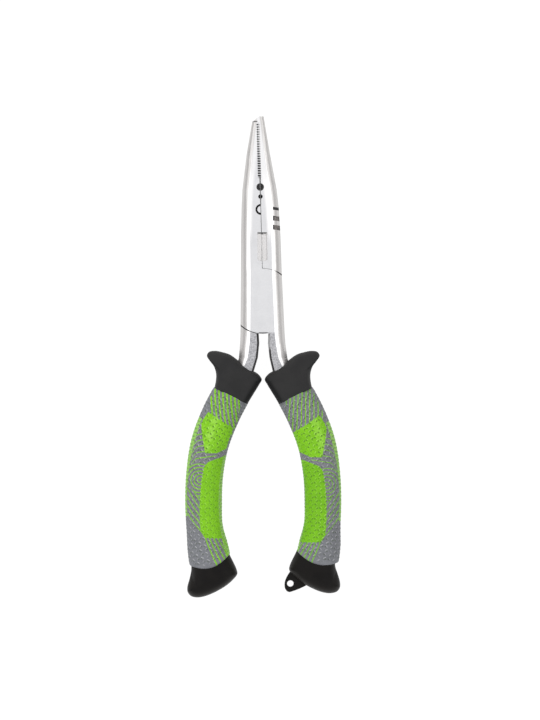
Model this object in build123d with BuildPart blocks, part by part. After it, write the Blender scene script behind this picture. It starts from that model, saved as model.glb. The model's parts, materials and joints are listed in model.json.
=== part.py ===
from build123d import *
import os
from math import cos, radians, sin

# Long-nose fishing pliers, closed. Millimetres. The pivot axis is the Z axis, the jaws
# point along +Y, the front face looks along +Z and the back face of the head is z = 0.

# Head
head_thickness = 10.5
mid = head_thickness / 2
head_end = -14.6
tip_end = 83.3
seam_lean = 0.0273
inner_round = 0.95
seam_gap = 0.05
parting_width = 0.24
seam_web = 1.2

# Lap joint and rivet
shoulder_radius = 14.6
shoulder_gap = 0.15
lap_gap = 0.06
rivet_radius = 3.5
rivet_head_radius = 5.0
rivet_head_depth = 1.5
running_clearance = 0.05

# Working features of the jaws
tooth_count = 22
tooth_pitch = 1.1
tooth_depth = 0.5
notch_width = 0.72
notch_length = 0.62
teeth_start = 55.6
slit_width = 0.5
slit_length = 3.0
hook_height = 80.7
large_hole_y = 51.3
large_hole_radius = 1.7
small_hole_y = 47.0
small_hole_radius = 1.0
crimp_y = 41.3
crimp_notch_radius = 2.33
crimp_bump_radius = 1.63
cutter_bottom = 18.0
cutter_top = 30.9
cutter_middle = (cutter_bottom + cutter_top) / 2
cutter_half_width = 2.25
cutter_wall = 0.9
cutter_land = 4.2
groove_heights = (41.6, 37.2, 33.1)
groove_widths = (1.2, 2.0, 2.0)
groove_start_x = 4.9
groove_depth = 0.55

# Handles: both follow an arc, mirrored about the plane x = handle_axis_x
handle_axis_x = 0.35
arc_radius = 96.0
arc_offset = 69.05
arc_y = -90.0
handle_thickness = 15.0
core_width = 12.4
core_thickness = 10.4
tang_width = 6.6
tang_thickness = 5.0
core_top_angle = 32.0
core_end_angle = -20.5
tang_top_angle = 30.5
tang_end_angle = -14.0
sleeve_top_angle = 29.0
sleeve_end_angles = {-1: -18.0, 1: -17.0}
sleeve_widths = ((0.0, 17.4), (0.25, 17.1), (0.6, 16.9), (0.85, 17.5), (1.0, 18.9))
guard_thickness = 14.4
cap_thickness = 15.4
cap_shift = {-1: 0.0, 1: 1.9}

# Lanyard ear of the right end cap
lanyard_hole = (12.55, -127.3)
lanyard_hole_radius = 1.45
ear_thickness = 4.0


def seam_x(y):
    """Centre of the seam between the jaws, which leans a little to the left."""
    return -seam_lean * (y + head_end)


def level_plane(y):
    """Cross-section plane at height y: local x is X, local y is Z above the mid-plane."""
    return Plane(origin=(0, y, mid), x_dir=(1, 0, 0), z_dir=(0, -1, 0))


def handle_plane(side, angle):
    """Cross-section plane of a handle at an angle along its arc, facing down the handle."""
    turn = radians(angle)
    x = handle_axis_x + side * (arc_radius * cos(turn) - arc_offset)
    y = arc_y + arc_radius * sin(turn)
    return Plane(
        origin=(x, y, mid),
        x_dir=(cos(turn), side * sin(turn), 0),
        z_dir=(side * sin(turn), -cos(turn), 0),
    )


def handle_axis(side):
    """The axis about which a handle's arc turns."""
    return Axis((handle_axis_x - side * arc_offset, arc_y, mid), (0, 0, side))


def bar_section(plane, x_left, x_right, thickness, round_left, round_right):
    """Section of a forged bar: flat faces, a rounded shoulder at each edge, upright flanks."""
    half = thickness / 2
    land = 0.34 * half
    corners = []
    for x, width in ((x_right, -round_right), (x_left, -round_left)):
        inward = width if x == x_right else -width
        corners.append(((x + inward, half), (x, land), (x + 0.41 * inward, 0.767 * half)))
    (right_top, right_side, right_bulge), (left_top, left_side, left_bulge) = corners
    with BuildSketch(plane) as section:
        with BuildLine():
            Line(left_top, right_top)
            ThreePointArc(right_top, right_bulge, right_side)
            Line(right_side, (right_side[0], -land))
            ThreePointArc(
                (right_side[0], -land), (right_bulge[0], -right_bulge[1]), (right_top[0], -half)
            )
            Line((right_top[0], -half), (left_top[0], -half))
            ThreePointArc(
                (left_top[0], -half), (left_bulge[0], -left_bulge[1]), (left_side[0], -land)
            )
            Line((left_side[0], -land), left_side)
            ThreePointArc(left_side, left_bulge, left_top)
        make_face()
    return section.sketch


# The forged blank that both jaws and both lap plates are cut from
head_stations = (
    # y, left edge, right edge, thickness, width of the rounded shoulder
    (head_end, -9.9, 10.0, head_thickness, 4.4),
    (12.0, -9.7, 8.75, head_thickness, 4.3),
    (30.0, -9.65, 8.1, 9.7, 4.0),
    (42.0, -9.4, 7.35, 8.7, 3.6),
    (50.0, -9.05, 6.45, 7.9, 3.4),
    (66.0, -7.15, 3.45, 5.7, 2.5),
    (tip_end, -4.25, 0.55, 3.2, 1.3),
)
with BuildPart() as head_blank:
    for y, x_left, x_right, thickness, shoulder in head_stations:
        add(bar_section(level_plane(y), x_left, x_right, thickness, shoulder, shoulder))
    loft(ruled=True)


def valley_y(tooth):
    """Height of a valley between two teeth of the left jaw."""
    return teeth_start + (tooth + 0.75) * tooth_pitch


def seam_points(shift):
    """The seam from the joint up through the teeth to the hooked tip, moved sideways."""
    points = [(shift, 0), (seam_x(teeth_start) + shift, teeth_start)]
    for tooth in range(tooth_count):
        valley = valley_y(tooth)
        crest = valley - tooth_pitch / 2
        points.append((seam_x(crest) + shift + tooth_depth / 2, crest))
        points.append((seam_x(valley) + shift - tooth_depth / 2, valley))
    points.append((seam_x(hook_height) + shift, hook_height + shift))
    points.append((-8, hook_height + shift))
    return points


def shank(side, stations):
    """Shank from the head down to the tang, then the tang along the handle's arc."""
    tang_section = bar_section(
        handle_plane(side, tang_top_angle),
        -tang_width / 2, tang_width / 2, tang_thickness, 0.9, 0.9,
    )
    with BuildPart() as bar:
        for y, outer, inner, thickness, shoulder in stations:
            x_left, x_right = sorted((outer, inner))
            rounds = (shoulder, inner_round) if side < 0 else (inner_round, shoulder)
            add(bar_section(level_plane(y), x_left, x_right, thickness, *rounds))
        add(tang_section)
        loft(ruled=True)
        add(tang_section)
        revolve(axis=handle_axis(side), revolution_arc=tang_end_angle - tang_top_angle)
    return bar.part


left_shank = shank(-1, (
    (head_end, -9.9, -1.7, head_thickness, 4.4),
    (-19.0, -10.1, -1.45, 9.6, 4.3),
    (-25.5, -10.6, -2.1, 8.2, 4.0),
    (-31.5, -12.2, -3.9, 7.2, 3.0),
))
right_shank = shank(1, (
    (head_end, 10.0, 2.65, head_thickness, 4.4),
    (-19.0, 10.35, 2.5, 9.6, 4.3),
    (-25.5, 11.2, 3.2, 8.2, 4.0),
    (-31.5, 12.9, 4.6, 7.2, 3.0),
))

# Two V-shaped recesses, one in each face, meet at the cutting edges between them
with BuildPart() as cutter_recess:
    with BuildSketch(level_plane(cutter_top)):
        for direction in (1, -1):
            with BuildLine():
                Polyline(
                    (seam_x(cutter_middle), direction * cutter_land / 2),
                    (cutter_half_width, direction * (mid - cutter_wall)),
                    (cutter_half_width, direction * (mid + 1)),
                    (-cutter_half_width, direction * (mid + 1)),
                    (-cutter_half_width, direction * (mid - cutter_wall)),
                    close=True,
                )
            make_face()
    extrude(amount=cutter_top - cutter_bottom)
    lower_corners = cutter_recess.edges().filter_by(Axis.Z).group_by(Axis.Y)[0]
    chamfer(lower_corners, 0.7)

# Grooves sunk from each face along the seam, down to a web in the middle: a fine parting
# line, a wedge over the cutter, a slit, a notch at each tooth and the arc of the crimper
line_bottom = shoulder_radius + shoulder_gap
line_top = teeth_start - slit_length
with BuildPart() as seam_grooves:
    for direction in (1, -1):
        with BuildSketch(Plane.XY.offset(mid + direction * seam_web / 2)):
            with Locations((seam_x(crimp_y), crimp_y)):
                Circle(crimp_notch_radius)
                Circle(crimp_bump_radius, mode=Mode.SUBTRACT)
                Rectangle(8, 8, align=(Align.MIN, Align.CENTER), mode=Mode.SUBTRACT)
            with BuildLine():
                Polyline(
                    (seam_x(line_bottom) - parting_width / 2, line_bottom),
                    (seam_x(line_bottom) + parting_width / 2, line_bottom),
                    (seam_x(line_top) + parting_width / 2, line_top),
                    (seam_x(line_top) - parting_width / 2, line_top),
                    close=True,
                )
            make_face()
            with BuildLine():
                Polyline(
                    (seam_x(cutter_top) - 0.45, cutter_top),
                    (seam_x(cutter_top) + 0.45, cutter_top),
                    (seam_x(cutter_top) + 0.1, cutter_top - 2),
                    (seam_x(cutter_top) - 0.1, cutter_top - 2),
                    close=True,
                )
            make_face()
            with Locations((seam_x(line_top), line_top)):
                Rectangle(slit_width, slit_length, align=(Align.CENTER, Align.MIN))
            for tooth in range(tooth_count):
                height = valley_y(tooth)
                with Locations((seam_x(height) - tooth_depth / 2 + 0.1, height)):
                    Rectangle(notch_width, notch_length, align=(Align.MAX, Align.CENTER))
        extrude(amount=direction * mid)

# Round pockets with a drilled floor, sunk from each face over the seam to the same web
with BuildPart() as shot_pockets:
    for height, radius in ((large_hole_y, large_hole_radius), (small_hole_y, small_hole_radius)):
        for direction in (1, -1):
            with BuildSketch(level_plane(height).shift_origin((seam_x(height), height, mid))):
                with BuildLine():
                    Polyline(
                        (0, direction * seam_web / 2),
                        (radius, direction * (seam_web / 2 + 0.6 * radius)),
                        (radius, direction * (mid + 1)),
                        (0, direction * (mid + 1)),
                        close=True,
                    )
                make_face()
            revolve(axis=Axis((seam_x(height), height, 0), (0, 0, 1)))


def rivet_profile(extra):
    """Half outline of the rivet, coned at both ends and enlarged by a clearance."""
    with BuildSketch(Plane.XZ) as profile:
        with BuildLine():
            Polyline(
                (0, 0),
                (rivet_head_radius + extra, 0),
                (rivet_radius + extra, rivet_head_depth),
                (rivet_radius + extra, head_thickness - rivet_head_depth),
                (rivet_head_radius + extra, head_thickness),
                (0, head_thickness),
                close=True,
            )
        make_face()
    return profile.sketch


# The rivet is ground flush with both faces and turns in the back half's bore
with BuildPart() as pivot_rivet:
    add(rivet_profile(0))
    revolve(axis=Axis.Z)
pivot_rivet.part.label = "pivot_rivet"

with BuildPart() as rivet_bore:
    add(rivet_profile(running_clearance))
    revolve(axis=Axis.Z)

# Front half: left jaw, front lap plate and right handle's shank, one forging
with BuildPart() as front_half:
    add(head_blank.part)
    add(right_shank)
    with BuildSketch(Plane.XY.offset(-1)):
        with BuildLine():
            Polyline(
                *seam_points(-seam_gap / 2), (-8, 90), (30, 90), (30, 0), close=True
            )
        make_face()
        with Locations((seam_x(crimp_y), crimp_y)):
            Circle(crimp_bump_radius + seam_gap)
        with BuildLine():
            Polyline((-30, 0), (2.65, 0), (2.65, head_end), (-30, head_end), close=True)
        make_face()
        Circle(shoulder_radius, mode=Mode.SUBTRACT)
    extrude(amount=head_thickness + 2, mode=Mode.SUBTRACT)
    with BuildSketch(Plane.XY.offset(-1)):
        Circle(shoulder_radius + shoulder_gap)
    extrude(amount=1 + mid + lap_gap / 2, mode=Mode.SUBTRACT)
    add(cutter_recess.part, mode=Mode.SUBTRACT)
    add(seam_grooves.part, mode=Mode.SUBTRACT)
    add(shot_pockets.part, mode=Mode.SUBTRACT)
    add(pivot_rivet.part, mode=Mode.SUBTRACT)
front_half.part.label = "front_half"

# Back half: right jaw, back lap plate and left handle's shank, one forging
with BuildPart() as back_half:
    add(head_blank.part)
    add(left_shank)
    with BuildSketch(Plane.XY.offset(-1)):
        with BuildLine():
            Polyline(
                *seam_points(seam_gap / 2), (-30, hook_height + seam_gap / 2), (-30, 0),
                close=True,
            )
        make_face()
        with Locations((seam_x(crimp_y), crimp_y)):
            Circle(crimp_bump_radius, mode=Mode.SUBTRACT)
        with BuildLine():
            Polyline((-1.7, 0), (30, 0), (30, head_end), (-1.7, head_end), close=True)
        make_face()
        Circle(shoulder_radius, mode=Mode.SUBTRACT)
        with BuildLine():
            Polyline((-1.5, 83.4), (-4.2, 81.1), (-8, 81.1), (-8, 84), (-1.5, 84), close=True)
        make_face()
    extrude(amount=head_thickness + 2, mode=Mode.SUBTRACT)
    with BuildSketch(Plane.XY.offset(mid - lap_gap / 2)):
        Circle(shoulder_radius + shoulder_gap)
    extrude(amount=head_thickness, mode=Mode.SUBTRACT)
    add(cutter_recess.part, mode=Mode.SUBTRACT)
    add(seam_grooves.part, mode=Mode.SUBTRACT)
    add(shot_pockets.part, mode=Mode.SUBTRACT)
    add(rivet_bore.part, mode=Mode.SUBTRACT)
    # Three blackened grip grooves across the rounded shoulder of the jaw
    for height, width in zip(groove_heights, groove_widths):
        with BuildSketch(level_plane(height + width / 2)):
            with BuildLine():
                Polyline(
                    (groove_start_x, 6),
                    (groove_start_x, 4.1 - groove_depth),
                    (7.1, 0.9),
                    (12, 0.9),
                    (12, 6),
                    close=True,
                )
            make_face()
        extrude(amount=width, mode=Mode.SUBTRACT)
back_half.part.label = "back_half"


def handle_core(side, tang):
    """Hard moulded liner that grips the tang and carries guard, sleeve and cap."""
    with BuildPart() as core:
        with BuildSketch(handle_plane(side, core_top_angle)):
            Ellipse(core_width / 2, core_thickness / 2)
        revolve(axis=handle_axis(side), revolution_arc=core_end_angle - core_top_angle)
        add(tang, mode=Mode.SUBTRACT)
    return core


def grip_sleeve(side):
    """Soft tubular grip over the core, wider where it laps over the end cap."""
    end_angle = sleeve_end_angles[side]
    with BuildPart() as sleeve:
        for along, width in sleeve_widths:
            angle = sleeve_top_angle + along * (end_angle - sleeve_top_angle)
            with BuildSketch(handle_plane(side, angle)):
                Ellipse(width / 2, handle_thickness / 2)
        loft()
        with BuildSketch(handle_plane(side, core_top_angle)):
            Ellipse(core_width / 2, core_thickness / 2)
        revolve(
            axis=handle_axis(side), revolution_arc=core_end_angle - core_top_angle,
            mode=Mode.SUBTRACT,
        )
    return sleeve


def rounded_plate(points, corner_radius, thickness, edge_radius):
    """A closed outline with rounded corners, extruded about the mid-plane, edges rounded."""
    with BuildPart() as plate:
        with BuildSketch(Plane.XY.offset(mid - thickness / 2)) as outline:
            with BuildLine():
                Polyline(*points, close=True)
            make_face()
            fillet(outline.vertices(), corner_radius)
        extrude(amount=thickness)
        if edge_radius > 0:
            rims = plate.edges().filter_by(Plane.XY)
            chamfer(rims, edge_radius)
    return plate


def below(side, angle, inside):
    """A large block on one side of a handle's cross-section plane, to trim against."""
    with BuildPart() as block:
        with BuildSketch(handle_plane(side, angle)):
            Rectangle(60, 60)
        extrude(amount=60 if inside else -60)
    return block.part


# Finger guard outline as (distance from the symmetry plane, y), going round from the
# inner tip over the top edge and the wing, down the outer side and along the bottom
guard_outline = (
    (0.6, -35.1), (3.9, -31.7), (6.4, -31.4), (11.2, -26.6), (15.6, -23.6),
    (21.4, -22.2), (25.4, -24.0), (22.3, -28.8), (21.0, -33.5), (21.7, -40.5),
    (14.0, -46.5), (6.9, -46.9),
)

cap_outline = (
    (15.2, -113.0), (11.3, -122.4), (13.6, -125.4), (22.6, -131.6), (28.6, -133.7),
    (34.2, -132.9), (33.8, -128.5), (32.5, -123.5), (32.4, -117.0), (24.0, -112.0),
)
ear_outline = (
    (16.5, -117.0), (12.6, -121.5), (10.2, -126.0), (10.2, -129.6), (12.2, -131.3),
    (19.3, -128.3), (23.0, -124.0),
)


def mirrored(side, points, shift=0.0):
    """World coordinates of points given by their distance from the symmetry plane."""
    return [(handle_axis_x + side * x, y + shift) for x, y in points]


def finger_guard(side, tang, core):
    """Black guard between shank and sleeve, with a wing that keeps the hand back."""
    with BuildPart() as guard:
        add(rounded_plate(mirrored(side, guard_outline), 1.8, guard_thickness, 1.5).part)
        add(below(side, sleeve_top_angle, True), mode=Mode.SUBTRACT)
        add(tang, mode=Mode.SUBTRACT)
        add(core.part, mode=Mode.SUBTRACT)
    return guard


def end_cap(side, core):
    """Flared black cap closing the lower end of the handle."""
    shift = cap_shift[side]
    with BuildPart() as cap:
        add(rounded_plate(mirrored(side, cap_outline, shift), 2.2, cap_thickness, 1.8).part)
        add(below(side, sleeve_end_angles[side], False), mode=Mode.SUBTRACT)
        if side > 0:
            add(rounded_plate(ear_outline, 0.9, ear_thickness, 0.5).part)
            with Locations((*lanyard_hole, mid)):
                Hole(lanyard_hole_radius)
        add(core.part, mode=Mode.SUBTRACT)
    return cap


pieces = [front_half, back_half, pivot_rivet]
for side, name, tang in ((-1, "left", left_shank), (1, "right", right_shank)):
    core = handle_core(side, tang)
    core.part.label = name + "_handle_core"
    sleeve = grip_sleeve(side)
    sleeve.part.label = name + "_grip_sleeve"
    guard = finger_guard(side, tang, core)
    guard.part.label = name + "_finger_guard"
    cap = end_cap(side, core)
    cap.part.label = name + "_end_cap"
    pieces += [core, sleeve, guard, cap]

os.makedirs("parts", exist_ok=True)
for piece in pieces:
    export_step(piece.part, "parts/" + piece.part.label + ".step")
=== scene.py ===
import json
from math import cos, pi, radians, sin

import bmesh
import bpy
import numpy as np
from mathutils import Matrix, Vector


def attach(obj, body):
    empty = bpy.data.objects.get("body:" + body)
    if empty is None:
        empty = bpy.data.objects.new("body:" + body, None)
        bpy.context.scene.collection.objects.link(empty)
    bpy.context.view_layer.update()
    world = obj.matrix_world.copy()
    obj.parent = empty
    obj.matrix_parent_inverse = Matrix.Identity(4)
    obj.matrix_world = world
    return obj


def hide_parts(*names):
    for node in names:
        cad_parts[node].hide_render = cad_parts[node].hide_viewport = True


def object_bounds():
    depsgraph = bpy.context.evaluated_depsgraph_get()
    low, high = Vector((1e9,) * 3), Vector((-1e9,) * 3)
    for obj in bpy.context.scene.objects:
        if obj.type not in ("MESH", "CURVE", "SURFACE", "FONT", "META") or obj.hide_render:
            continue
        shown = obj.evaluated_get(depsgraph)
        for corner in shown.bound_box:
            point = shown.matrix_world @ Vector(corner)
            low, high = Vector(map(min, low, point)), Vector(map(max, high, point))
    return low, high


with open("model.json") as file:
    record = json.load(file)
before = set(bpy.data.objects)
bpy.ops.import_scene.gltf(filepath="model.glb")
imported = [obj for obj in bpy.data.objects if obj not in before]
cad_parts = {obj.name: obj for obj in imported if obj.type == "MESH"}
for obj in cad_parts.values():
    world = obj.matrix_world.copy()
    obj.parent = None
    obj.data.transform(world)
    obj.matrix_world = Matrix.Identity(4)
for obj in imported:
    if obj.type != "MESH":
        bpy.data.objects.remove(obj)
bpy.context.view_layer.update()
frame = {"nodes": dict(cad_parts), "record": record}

MM = 0.001

# The tool's mid-plane, the handles' symmetry plane and their arcs, in millimetres, as
# the CAD has them
MID_Z = 5.25
AXIS_X = 0.35
ARC_RADIUS = 96.0
ARC_OFFSET = 69.05
ARC_Y = -90.0
SLEEVE_TOP_ANGLE = 29.0
LEFT, RIGHT = -1, 1
SIDE_NAMES = {LEFT: "left", RIGHT: "right"}
SIDE_BODIES = {LEFT: "back", RIGHT: "front"}


# ---------------------------------------------------------------- shader helpers

NOISE_ROUGHNESS = 0.55


class Field:
    """A number that varies over a surface; arithmetic on it adds Math nodes to its tree."""

    def __init__(self, tree, socket):
        self.tree = tree
        self.socket = socket

    def math(self, operation, *others):
        node = self.tree.nodes.new("ShaderNodeMath")
        node.operation = operation
        for slot, value in enumerate((self, *others)):
            if isinstance(value, Field):
                self.tree.links.new(value.socket, node.inputs[slot])
            else:
                node.inputs[slot].default_value = value
        return Field(self.tree, node.outputs[0])

    def __add__(self, other):
        return self.math("ADD", other)

    def __sub__(self, other):
        return self.math("SUBTRACT", other)

    def __mul__(self, other):
        return self.math("MULTIPLY", other)

    def __truediv__(self, other):
        return self.math("DIVIDE", other)

    def __neg__(self):
        return self.math("MULTIPLY", -1.0)

    def smaller(self, other):
        return self.math("MINIMUM", other)

    def larger(self, other):
        return self.math("MAXIMUM", other)

    def size(self):
        return self.math("ABSOLUTE")

    def ramp(self, low, high):
        """0 below low, 1 above high, smooth between."""
        node = self.tree.nodes.new("ShaderNodeMapRange")
        node.interpolation_type = "SMOOTHSTEP"
        self.tree.links.new(self.socket, node.inputs["Value"])
        node.inputs["From Min"].default_value = low
        node.inputs["From Max"].default_value = high
        return Field(self.tree, node.outputs["Result"])

    def fall(self, low, high):
        """1 below low, 0 above high, smooth between."""
        return (-self).ramp(-high, -low)

    def above(self, limit):
        """1 where it is over the limit, 0 elsewhere."""
        return self.math("GREATER_THAN", limit)

    def below(self, limit):
        """1 where it is under the limit, 0 elsewhere."""
        return self.math("LESS_THAN", limit)

    def inverse(self):
        """1 where it is 0, and 0 where it is 1."""
        return self * -1.0 + 1.0

    def to_nearest(self):
        """Distance to the nearest whole number, 0 to 0.5."""
        return (self - self.math("ROUND")).size()


def smallest(first, *others):
    for other in others:
        first = first.smaller(other)
    return first


def largest(first, *others):
    for other in others:
        first = first.larger(other)
    return first


class Surface:
    """A Principled material with short ways to make coordinates, noise, colours and bump."""

    def __init__(self, name, **settings):
        self.material = bpy.data.materials.new(name)
        self.material.use_nodes = True
        self.tree = self.material.node_tree
        self.shader = self.tree.nodes["Principled BSDF"]
        for socket, value in settings.items():
            self.shader.inputs[socket.replace("_", " ")].default_value = value
        self.coordinates = self.tree.nodes.new("ShaderNodeTexCoord")

    def axes(self, output, scale=1.0):
        """The three components of a texture coordinate."""
        split = self.tree.nodes.new("ShaderNodeSeparateXYZ")
        self.tree.links.new(self.coordinates.outputs[output], split.inputs[0])
        return [Field(self.tree, socket) * scale for socket in split.outputs]

    def attribute(self, name):
        """The three components of a mesh attribute."""
        node = self.tree.nodes.new("ShaderNodeAttribute")
        node.attribute_name = name
        split = self.tree.nodes.new("ShaderNodeSeparateXYZ")
        self.tree.links.new(node.outputs["Vector"], split.inputs[0])
        return [Field(self.tree, socket) for socket in split.outputs]

    def noise(self, size_mm, stretch=(1, 1, 1), detail=3.0):
        """Noise with features of about this size, stretched along the object's axes."""
        mapping = self.tree.nodes.new("ShaderNodeMapping")
        mapping.inputs["Scale"].default_value = [1 / (size_mm * MM * s) for s in stretch]
        self.tree.links.new(self.coordinates.outputs["Object"], mapping.inputs["Vector"])
        node = self.tree.nodes.new("ShaderNodeTexNoise")
        node.inputs["Scale"].default_value = 1.0
        node.inputs["Detail"].default_value = detail
        node.inputs["Roughness"].default_value = NOISE_ROUGHNESS
        self.tree.links.new(mapping.outputs[0], node.inputs["Vector"])
        return Field(self.tree, node.outputs["Fac"])

    def mix(self, amount, below, above):
        """A colour between two colours or colour sockets."""
        node = self.tree.nodes.new("ShaderNodeMix")
        node.data_type = "RGBA"
        self.tree.links.new(amount.socket, node.inputs["Factor"])
        for socket, colour in (("A", below), ("B", above)):
            target = [i for i in node.inputs if i.name == socket and i.type == "RGBA"][0]
            if isinstance(colour, tuple):
                target.default_value = (*colour, 1)
            else:
                self.tree.links.new(colour, target)
        return [o for o in node.outputs if o.type == "RGBA"][0]

    def set(self, socket, value):
        self.tree.links.new(value.socket if isinstance(value, Field) else value,
                            self.shader.inputs[socket])

    def bump(self, height, depth_mm):
        """Bump from a height of 0 to 1 that stands for this depth."""
        node = self.tree.nodes.new("ShaderNodeBump")
        node.inputs["Strength"].default_value = 1.0
        node.inputs["Distance"].default_value = depth_mm * MM
        self.tree.links.new(height.socket, node.inputs["Height"])
        self.tree.links.new(node.outputs[0], self.shader.inputs["Normal"])


# ---------------------------------------------------------------- steel

STEEL_FLAT = (0.72, 0.72, 0.735)
STEEL_FLAT_DARK = (0.47, 0.47, 0.49)
# Painted highlight: the bright reflection in the jaws' rounded sides
STEEL_HIGHLIGHT = (0.94, 0.93, 0.93)
# Painted reflections on the rounded shoulders: grey from the room, darker from the black guards
# near them
STEEL_SHOULDER_REFLECTION = (0.585, 0.570, 0.562)
STEEL_SHOULDER_DARK_REFLECTION = (0.42, 0.408, 0.402)
STEEL_WINDOW = (0.93, 0.92, 0.92)
# Grey painted shade on the shanks' facing sides
STEEL_INNER_SIDE_SHADE = (0.36, 0.36, 0.365)
STEEL_SHANK = (0.27, 0.27, 0.285)
# Painted shade in the seam, teeth, lap line, window and between the shanks, and the real blackening
# in the grooves and on the pockets' floors
STEEL_SHADE_AND_BLACKENING = (0.030, 0.029, 0.030)
STEEL_GROOVE = (0.26, 0.235, 0.222)

# Places on the forging, in millimetres
SHANK_TOP_Y = -14.2
LAP_RADIUS = 14.67
LAP_END = (0.5, -14.5)
SEAM_LEAN = 0.0273
SEAM_CROSSING_Y = 14.6
JAW_ROOT_Y = (12.0, 16.0)
CUTTER_BOTTOM_Y = 18.0
CUTTER_MIDDLE_Y = 26.0
CUTTER_TOP_Y = 30.9
CRIMP_Y = 41.1
CRIMP_RING_RADIUS = 1.98
POCKETS = ((-1.0, 51.3, 1.7), (-0.88, 47.0, 1.0))
TOOTH_PITCH = 1.1
FIRST_VALLEY_Y = 56.425
TEETH_END_Y = 80.6
HOOK_Y = 81.0
HOOK_END_X = -4.15
GROOVES = ((41.6, 0.6), (37.2, 1.0), (33.1, 1.0))
GROOVE_LEAN = -0.12
GROOVE_START_X = 4.7

# The jaws' outer sides: the least of these lines, each a slope and an offset along y
RIGHT_SIDE = ((-0.036, 9.18), (-0.0625, 9.97), (-0.1125, 12.07), (-0.178, 15.3))
LEFT_SIDE = ((-0.02, 10.2), (-0.044, 11.25), (-0.119, 15.0), (-0.168, 18.2))
BAND_WIDTH = 4.1
BAND_WIDER_ON_RIGHT = 1.1

# How squarely a surface faces front or back: 1 for the flats, 0 for upright walls
FLAT_FACING = (0.965, 0.99)
SHOULDER_FACING = (0.88, 0.945)
INNER_SIDE_FACING = (0.8, 0.93)
WALL_FACING = (0.5, 0.62)


class Forging:
    """Where each point lies on the forging, as fields that the steel's layers share."""

    def __init__(self, steel):
        self.x, self.y, self.z = steel.axes("Object", 1 / MM)
        self.facing = steel.axes("Normal")[2].size()
        self.depth = (self.z - MID_Z).size()
        self.shank = self.y.fall(SHANK_TOP_Y - 0.6, SHANK_TOP_Y + 0.6)
        self.right_of_seam = self.x + (self.y - SEAM_CROSSING_Y) * SEAM_LEAN
        self.from_seam = self.right_of_seam.size()
        right_side = smallest(*(self.y * slope + offset for slope, offset in RIGHT_SIDE))
        left_side = smallest(*(self.y * slope + offset for slope, offset in LEFT_SIDE))
        self.from_side = (right_side - self.x).smaller(left_side + self.x)


def steel_ground(steel, place, grain, cloud, polish, brushed):
    """Flats and shoulders without their marks: satin grey, with a painted highlight for the bright
    band along the jaws' sides and on faces that don't face squarely front or back, a painted grey
    reflection on the rounded shoulder outside it, darker near the guards, and darker, coarser
    shanks."""
    y, shank = place.y, place.shank
    near_cutter = (y - CUTTER_MIDDLE_Y).size().fall(4.0, 16.0)
    flat_tone = (grain * (shank * 0.7 + 0.12) + cloud.ramp(0.35, 0.75) * 0.16
                 + brushed.ramp(0.4, 0.75) * 0.10 + near_cutter * 0.08
                 + y.fall(-14.0, -4.0) * 0.16 * grain + shank * 0.34)
    ground = steel.mix(flat_tone, STEEL_FLAT, STEEL_FLAT_DARK)
    coarse = steel.noise(0.75).ramp(0.40, 0.62)
    ground = steel.mix(shank * (coarse * 0.62 + 0.14), ground, STEEL_SHANK)

    # Painted highlight: the bright reflection along the jaws' sides, fainter towards the tip, and
    # on every face that isn't squarely front or back
    band_end = place.right_of_seam.above(0.0) * BAND_WIDER_ON_RIGHT + BAND_WIDTH
    highlight_band = (band_end - place.from_side).ramp(-1.3, 0.3) * y.ramp(24.0, 34.0)
    highlight_band = highlight_band * (y.ramp(48.0, 62.0) * -0.45 + 0.9)
    ground = steel.mix(highlight_band, ground, STEEL_HIGHLIGHT)
    ground = steel.mix(place.facing.ramp(*FLAT_FACING), STEEL_HIGHLIGHT, ground)

    # Painted reflection on the shoulders, darker on the shanks near the guards, where the guards
    # are reflected
    shoulder_reflection_tone = polish.ramp(0.38, 0.72) * 0.5 + shank * y.fall(-31.0, -16.0) * 0.8
    shoulder_reflection_colour = steel.mix(shoulder_reflection_tone, STEEL_SHOULDER_REFLECTION, STEEL_SHOULDER_DARK_REFLECTION)
    on_jaw = y.ramp(*JAW_ROOT_Y)
    jaw_shoulder = (place.from_side + (y - 60.0).larger(0.0) * 0.045).fall(2.3, 3.3)
    shoulder = on_jaw * jaw_shoulder + on_jaw.inverse() * place.facing.fall(*SHOULDER_FACING)
    return steel.mix(shoulder, ground, shoulder_reflection_colour)


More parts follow.
